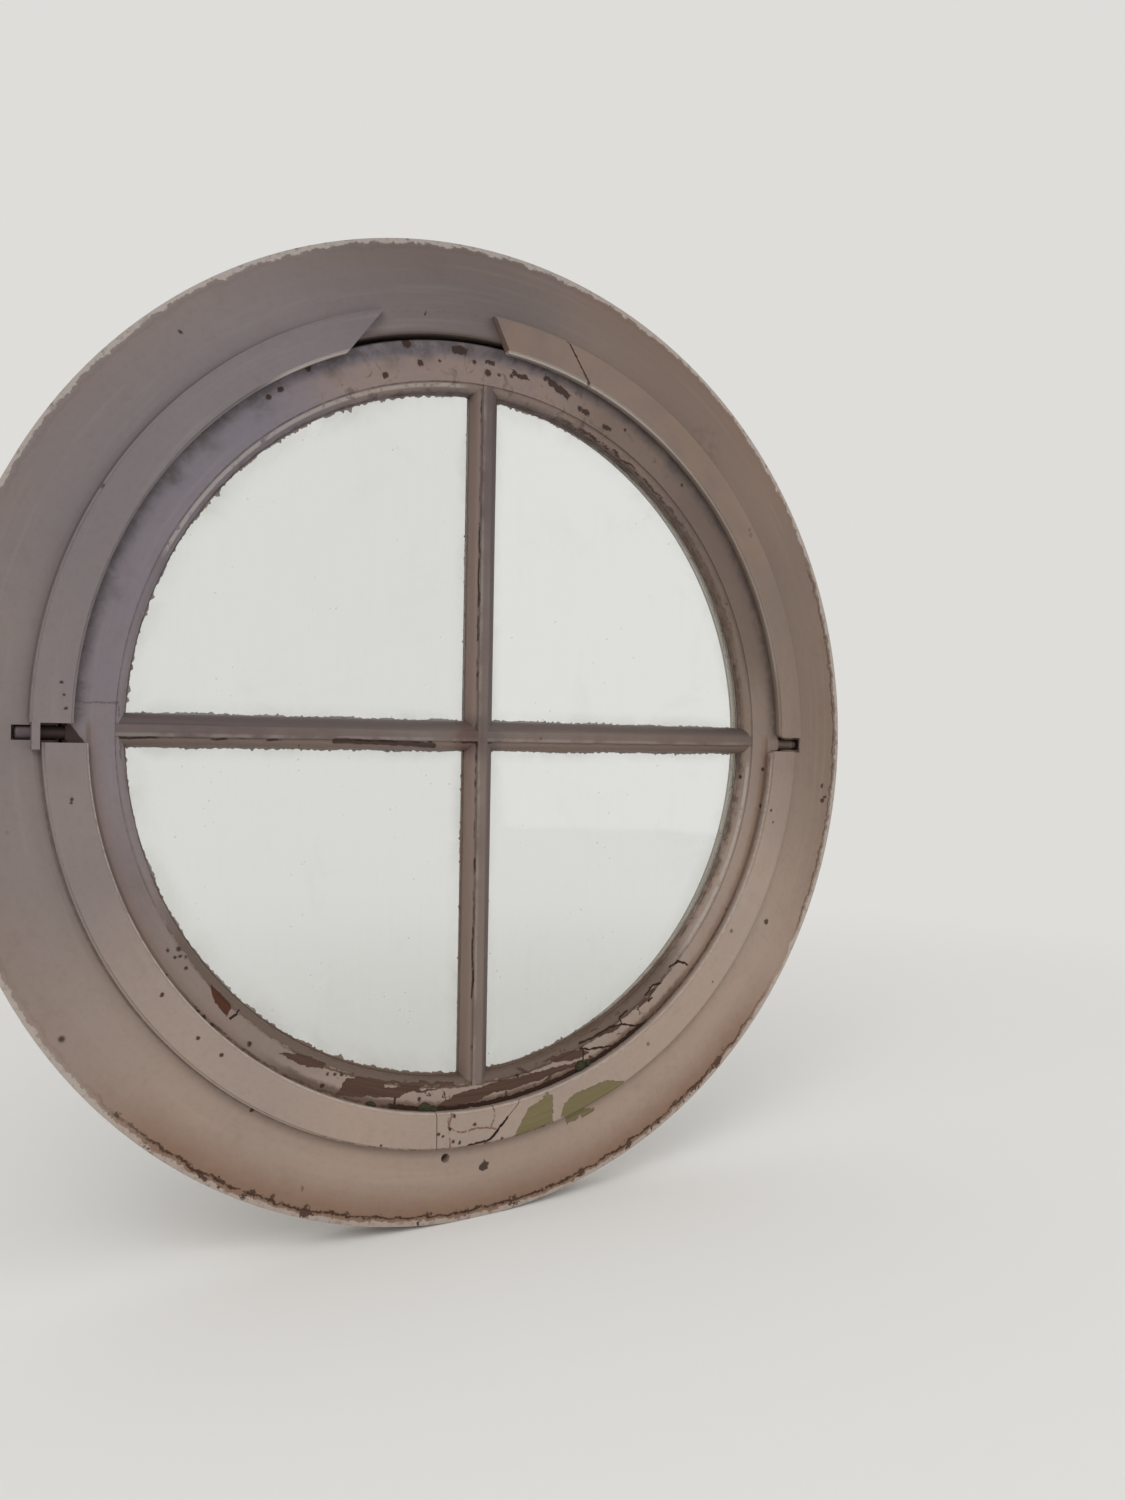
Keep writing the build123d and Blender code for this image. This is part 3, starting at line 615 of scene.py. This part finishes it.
def nail_heads(name):
    """Painted nail heads with rust coming through."""
    s = Shader(name)
    spots = s.clouds(16.0, 2.0, 0.5, shift=3.0).rise(0.6, 0.64)
    paint = s.blend(s.clouds(5.0), *BEAD_PAINT)
    return s.finish(s.blend(spots, paint, RUST), 0.7, s.clouds(1.2) * 0.2)


def putty(name):
    """Old putty, crazed here and there."""
    s = Shader(name)
    crazed = s.cells(26.0, "DISTANCE_TO_EDGE", where=s.shaken(5.0, 14.0))
    cracks = s.step(crazed, 0.03, 0.01) * s.clouds(50.0, 3.0, 0.6, shift=6.0).rise(0.4, 0.55)
    body = s.clouds(20.0, 5.0, 0.6)
    color = s.blend(body, *PUTTY)
    color = s.blend(cracks * 0.8, color, GRIME_AND_SHADE)
    return s.finish(color, 0.75, body * 0.6 - cracks * 0.5)


def lap_paint(name):
    """The ragged edge of paint that a brush left on the glass."""
    s = Shader(name)
    bottom = s.angle.between(-125.0, -45.0, 10.0)
    smoky = s.clouds(9.0, 5.0, 0.65, 0.5)
    color = s.blend(bottom, *LAP)
    color = s.blend(smoky.rise(0.5, 0.7) * 0.6, color, MOULD_AND_SHADE)
    return s.finish(color, 0.6, smoky * 0.2)


def moss(name):
    """Dark, dry moss."""
    s = Shader(name)
    tufts = s.clouds(1.4, 4.0, 0.7)
    return s.finish(s.blend(tufts.rise(0.35, 0.65), *MOSS), 0.95, tufts * 0.9)


def glass(name):
    """Clear sheet glass with a thin film of dust, thicker along its edges, and a few specks."""
    s = Shader(name)
    smear = s.clouds(70.0, 5.0, 0.62, 0.8)
    streak = s.clouds(1.0, 4.0, 0.6, where=s.joined(s.x / 9.0, s.y, s.z / 90.0))
    edges = s.most(s.r.rise(SIGHT_R - 23.0, SIGHT_R), *(s.math("ABSOLUTE", v).rise(27.0, 12.0) for v in (s.x, s.z)))
    specks = s.step(s.cells(11.0), 0.11, 0.06) * s.clouds(40.0, shift=6.0).rise(0.52, 0.64)
    dust = smear.rise(0.5, 0.85) * 0.05 + streak.rise(0.5, 0.8) * 0.02 + edges * smear.rise(0.25, 0.7) * 0.14 + 0.008
    dust = s.most(dust, specks * 0.4)
    clear = s.node("ShaderNodeBsdfTransparent", {"Color": (0.968, 0.975, 0.969, 1.0)})
    wave = s.node("ShaderNodeBump", {"Height": s.clouds(90.0, 1.0) * 0.35, "Distance": MM, "Strength": 1.0})
    gloss = s.node("ShaderNodeBsdfGlossy", {"Color": (1, 1, 1, 1), "Roughness": 0.04, "Normal": wave.outputs[0]})
    mirror = s.node("ShaderNodeFresnel", {"IOR": 1.5})
    inner = s.tree.nodes.new("ShaderNodeNewGeometry").outputs["Backfacing"]
    outward = s.math("MULTIPLY", mirror.outputs[0], 1.0 - Value(s, inner))
    sheet = s.node("ShaderNodeMixShader", {0: outward, 1: clear.outputs[0], 2: gloss.outputs[0]})
    film = s.node("ShaderNodeBsdfDiffuse", {"Color": DUST})
    return s.shown(s.node("ShaderNodeMixShader", {0: dust, 1: sheet.outputs[0], 2: film.outputs[0]}))


def placed(name, data):
    """A new object in the scene."""
    thing = bpy.data.objects.new(name, data)
    bpy.context.scene.collection.objects.link(thing)
    return thing


def add_piece(name, mesh, material):
    """A new piece of the window, which turns with the sash."""
    mesh.materials.append(material)
    piece = placed(name, mesh)
    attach(piece, "sash")
    return piece


def add_paint(name, points, faces, material):
    """A new piece of paint, from points in millimetres."""
    mesh = bpy.data.meshes.new(name)
    mesh.from_pydata([tuple(v * MM for v in p) for p in points], [], faces)
    piece = add_piece(name, mesh, material)


def sight_line(sign_x, sign_z):
    """Points round a quarter pane's visible edge, each with the direction into the pane."""
    spacing = 0.9
    start = asin(BAR_HALF / SIGHT_R)
    turns = int((radians(90) - 2 * start) * SIGHT_R / spacing)
    far = SIGHT_R * cos(start)
    steps = int((far - BAR_HALF) / spacing)
    line = [(BAR_HALF + i * spacing, BAR_HALF, 0.0, 1.0) for i in range(steps)]
    for i in range(turns + 1):
        a = start + (radians(90) - 2 * start) * i / turns
        line.append((SIGHT_R * cos(a), SIGHT_R * sin(a), -cos(a), -sin(a)))
    line += [(BAR_HALF, far - (i + 1) * spacing, 1.0, 0.0) for i in range(steps)]
    return [(x * sign_x, z * sign_z, u * sign_x, v * sign_z) for x, z, u, v in line]


def lap_width(x, z):
    """How far the brush went over the glass at a place: mostly a hair, with bays and spikes."""
    broad = noise.noise(Vector((x / 23.0, 3.0, z / 23.0)))
    fine = noise.noise(Vector((x / 4.1, 9.0, z / 4.1)))
    tiny = noise.noise(Vector((x / 1.7, 7.0, z / 1.7)))
    spike = max(0.0, noise.noise(Vector((x / 4.0, 5.0, z / 4.0))) - 0.3) * 4.5
    ragged = 1.35 if z > 180 or z < -200 else 1.0  # top and bottom
    return max(0.25, 1.0 + (broad * 1.3 + fine * 1.4 + tiny * 0.7 + spike) * ragged)


def paint_lap(name, sign_x, sign_z, material):
    """A thin ragged strip of paint on the glass, all round one pane."""
    back, front, under, feather = GLASS_Y - 0.01, GLASS_Y - 0.16, 0.25, 0.12
    points, faces = [], []
    line = sight_line(sign_x, sign_z)
    for x, z, u, v in line:
        width = lap_width(x, z)
        for reach, y in ((-under, front), (width, front), (width + feather, back), (-under, back)):
            points.append((x + u * reach, y, z + v * reach))
    count = len(line)
    for i in range(count):
        j = (i + 1) % count
        for k in range(4):
            m = (k + 1) % 4
            quad = (4 * i + k, 4 * i + m, 4 * j + m, 4 * j + k)
            faces.append(quad if sign_x * sign_z > 0 else quad[::-1])
    add_paint(name, points, faces, material)


def edge_paint(material):
    """Thick uneven paint on the sash's edge at the left pin, which closes the view through the gap."""
    count, first, sweep, sunk, near = 24, 178.1, 4.8, 0.6, 3.5
    points, faces = [], []
    for i in range(count + 1):
        a = radians(first + sweep * i / count)
        thick = 2.0 + 0.4 * noise.noise(Vector((i / 3.0, 2.0, 5.0)))
        back = 17.2 + 0.5 * noise.noise(Vector((i / 2.0, 8.0, 1.0)))
        outline = ((-sunk, near), (thick * 0.7, near + 1.0), (thick, back - 2.0), (-sunk, back))
        points += [((SASH_R + out) * cos(a), y, (SASH_R + out) * sin(a)) for out, y in outline]
    for i in range(count):
        for k in range(4):
            m = (k + 1) % 4
            faces.append((4 * i + k, 4 * i + 4 + k, 4 * i + 4 + m, 4 * i + m))
    faces += [(0, 1, 2, 3), (4 * count + 3, 4 * count + 2, 4 * count + 1, 4 * count)]
    add_paint("edge_paint_left", points, faces, material)


def moss_cushion(name, x, z, long, short, tilt, material):
    """A tuft of moss that grows in the joint beside the lower bead."""
    ball = bmesh.new()
    bmesh.ops.create_icosphere(ball, subdivisions=4, radius=1.0)
    c, s = cos(radians(tilt)), sin(radians(tilt))
    middle, deep = ROOM_Y + 0.5, 2.3
    for vertex in ball.verts:
        p = vertex.co
        bump = 1.0 + 0.22 * noise.noise(p * 2.3) + 0.24 * noise.noise(p * 6.5 + Vector((x, 0, z)))
        a, b = p.x * long * bump, p.z * short * bump
        vertex.co = Vector((x + a * c - b * s, middle + p.y * deep * bump, z + a * s + b * c)) * MM
    mesh = bpy.data.meshes.new(name)
    ball.to_mesh(mesh)
    ball.free()
    mesh.shade_smooth()
    add_piece(name, mesh, material)


def dress(names, material):
    """Gives CAD nodes a material."""
    for name in names:
        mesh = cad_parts[name].data
        mesh.materials.clear()
        mesh.materials.append(material)


def ease(names, width):
    """Eases the edges of CAD nodes by a small bevel, without a change to their meshes."""
    for name in names:
        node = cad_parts[name]
        weld = node.modifiers.new("weld", "WELD")
        weld.merge_threshold = 0.00001
        bevel = node.modifiers.new("bevel", "BEVEL")
        bevel.width = width * MM
        bevel.segments = 2
        bevel.limit_method = "ANGLE"
        bevel.angle_limit = radians(40)
        bevel.harden_normals = True


def place_camera():
    """The camera of the photograph, fitted to the rings."""
    yaw, pitch, roll = (radians(turn) for turn in (CAMERA_YAW, CAMERA_PITCH, CAMERA_ROLL))
    ahead = Vector((sin(yaw) * cos(pitch), cos(yaw) * cos(pitch), sin(pitch)))
    level = ahead.cross(Vector((0, 0, 1))).normalized()
    top = level.cross(ahead)
    right = level * cos(roll) + top * sin(roll)
    up = top * cos(roll) - level * sin(roll)
    data = bpy.data.cameras.new("camera")
    data.sensor_fit = "VERTICAL"
    data.sensor_height = SENSOR
    data.lens = SENSOR * FOCAL_PIXELS / PICTURE_PIXELS
    camera = placed("camera", data)
    turned = Matrix((right, up, -ahead)).transposed().to_4x4()
    camera.matrix_world = Matrix.Translation(CAMERA_M) @ turned
    bpy.context.scene.camera = camera


def lamp(name, place, size, power):
    """A soft square lamp that faces the window."""
    data = bpy.data.lights.new(name, "AREA")
    data.size = size
    data.energy = power
    thing = placed(name, data)
    thing.location = place
    thing.rotation_euler = (-Vector(place)).to_track_quat("-Z", "Y").to_euler()


def seen_rays(tree):
    """1 for rays that the camera, a gloss or a glass sends out."""
    path = tree.nodes.new("ShaderNodeLightPath")
    seen = path.outputs["Is Camera Ray"]
    for name in ("Is Glossy Ray", "Is Transmission Ray"):
        either = tree.nodes.new("ShaderNodeMath")
        either.operation = "MAXIMUM"
        tree.links.new(seen, either.inputs[0])
        tree.links.new(path.outputs[name], either.inputs[1])
        seen = either.outputs[0]
    return seen


def even_world():
    """White light from all sides, behind a pale colour that the camera sees."""
    world = bpy.data.worlds.new("world")
    world.use_nodes = True
    tree = world.node_tree
    light = tree.nodes["Background"]
    light.inputs["Color"].default_value = (1, 1, 1, 1)
    light.inputs["Strength"].default_value = WORLD_LIGHT
    shown = tree.nodes.new("ShaderNodeBackground")
    shown.inputs["Color"].default_value = BACKDROP
    mix = tree.nodes.new("ShaderNodeMixShader")
    tree.links.new(seen_rays(tree), mix.inputs[0])
    tree.links.new(light.outputs[0], mix.inputs[1])
    tree.links.new(shown.outputs[0], mix.inputs[2])
    tree.links.new(mix.outputs[0], tree.nodes["World Output"].inputs["Surface"])
    bpy.context.scene.world = world


def stage_material(name, shade):
    """A plain pale surface, which far from the window shows the camera one even colour."""
    material = bpy.data.materials.new(name)
    material.use_nodes = True
    tree = material.node_tree
    tree.nodes.clear()
    diffuse = tree.nodes.new("ShaderNodeBsdfDiffuse")
    diffuse.inputs["Color"].default_value = shade
    even = tree.nodes.new("ShaderNodeEmission")
    even.inputs["Color"].default_value = BACKDROP
    coordinates = tree.nodes.new("ShaderNodeTexCoord")
    far = tree.nodes.new("ShaderNodeVectorMath")
    far.operation = "LENGTH"
    tree.links.new(coordinates.outputs["Object"], far.inputs[0])
    rise = tree.nodes.new("ShaderNodeMapRange")
    rise.interpolation_type = "SMOOTHSTEP"
    rise.inputs["From Min"].default_value = EVEN_FROM_M
    rise.inputs["From Max"].default_value = EVEN_TO_M
    tree.links.new(far.outputs["Value"], rise.inputs["Value"])
    amount = tree.nodes.new("ShaderNodeMath")
    amount.operation = "MULTIPLY"
    tree.links.new(seen_rays(tree), amount.inputs[0])
    tree.links.new(rise.outputs[0], amount.inputs[1])
    mix = tree.nodes.new("ShaderNodeMixShader")
    tree.links.new(amount.outputs[0], mix.inputs[0])
    tree.links.new(diffuse.outputs[0], mix.inputs[1])
    tree.links.new(even.outputs[0], mix.inputs[2])
    out = tree.nodes.new("ShaderNodeOutputMaterial")
    tree.links.new(mix.outputs[0], out.inputs[0])
    return material


def studio():
    """A floor that turns up into a backdrop, two soft lamps and an even pale world."""
    floor_z = -OUTER_R * MM
    profile = [(FLOOR_NEAR_M, floor_z), (FLOOR_FAR_M, floor_z)]
    for turn in range(9, 91, 9):
        a = radians(turn)
        profile.append((FLOOR_FAR_M + BEND_M * sin(a), floor_z + BEND_M * (1 - cos(a))))
    profile.append((FLOOR_FAR_M + BEND_M, BACKDROP_TOP_M))
    points = [(x, y, z) for y, z in profile for x in BACKDROP_SIDES_M]
    faces = [(2 * i, 2 * i + 1, 2 * i + 3, 2 * i + 2) for i in range(len(profile) - 1)]
    mesh = bpy.data.meshes.new("backdrop")
    mesh.from_pydata(points, [], faces)
    mesh.shade_smooth()
    mesh.materials.append(stage_material("backdrop", FLOOR))
    backdrop = placed("backdrop", mesh)
    even_world()
    lamp("key", (-1.7, -2.4, 2.3), 2.0, 46.0)
    lamp("fill", (2.4, -2.2, 0.8), 2.4, 20.0)
    bpy.context.scene.view_settings.view_transform = "Standard"


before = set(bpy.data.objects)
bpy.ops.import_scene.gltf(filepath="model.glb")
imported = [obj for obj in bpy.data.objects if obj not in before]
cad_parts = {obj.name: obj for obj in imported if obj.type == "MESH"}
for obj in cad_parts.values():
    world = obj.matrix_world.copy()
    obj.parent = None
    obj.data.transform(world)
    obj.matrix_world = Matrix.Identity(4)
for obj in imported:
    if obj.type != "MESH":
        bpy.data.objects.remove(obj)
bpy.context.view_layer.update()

FRAME_WOOD = [f"frame_{n}" for n in ("upper_right", "upper_left", "lower_left", "lower_right")]
RIM_WOOD = [f"sash_rim_{n}" for n in ("top", "left", "bottom", "right")] + ["pivot_block_left", "pivot_block_right"]
BEADS = [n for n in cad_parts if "_bead_" in n and "nails" not in n]
BEARINGS = ["bearing_left", "bearing_right", "bearing_screws"]
PINS = ["pivot_pin_left", "pivot_pin_right", "pivot_screws"]
BARS = ["bar_horizontal", "bar_vertical"]
QUARTERS = ("upper_left", "upper_right", "lower_left", "lower_right")

place_camera()
studio()
frame_paint = painted("frame_paint", Shader.round_strokes, frame_marks, FRAME_PAINT)
dress(FRAME_WOOD + BEARINGS + ["frame_pegs"], frame_paint)
dress(RIM_WOOD + PINS + ["sash_pegs"], painted("sash_paint", Shader.round_strokes, rim_marks, RIM_PAINT))
dress(["bar_horizontal"], painted("lying_bar_paint", Shader.lying_strokes, lying_marks, BAR_PAINT))
dress(["bar_vertical"], painted("upright_bar_paint", Shader.upright_strokes, upright_marks, BAR_PAINT))
dress(BEADS, painted("bead_paint", Shader.round_strokes, bead_marks, BEAD_PAINT))
dress(["frame_bead_nails", "sash_bead_nails", "glazing_sprigs"], nail_heads("nails"))
dress([f"putty_{q}" for q in QUARTERS], putty("putty"))
dress([f"pane_{q}" for q in QUARTERS], glass("old_glass"))
lap_material = lap_paint("paint_on_glass")
for quarter in QUARTERS:
    sign_x = 1 if "right" in quarter else -1
    sign_z = 1 if "upper" in quarter else -1
    paint_lap(f"paint_lap_{quarter}", sign_x, sign_z, lap_material)
edge_paint(lap_material)
moss_material = moss("moss")
for number, (x, z, long, short, tilt) in enumerate(MOSS_CUSHIONS):
    moss_cushion(f"moss_{number}", x, z, long, short, tilt, moss_material)
ease(FRAME_WOOD + RIM_WOOD + BEADS + BARS, 0.35)
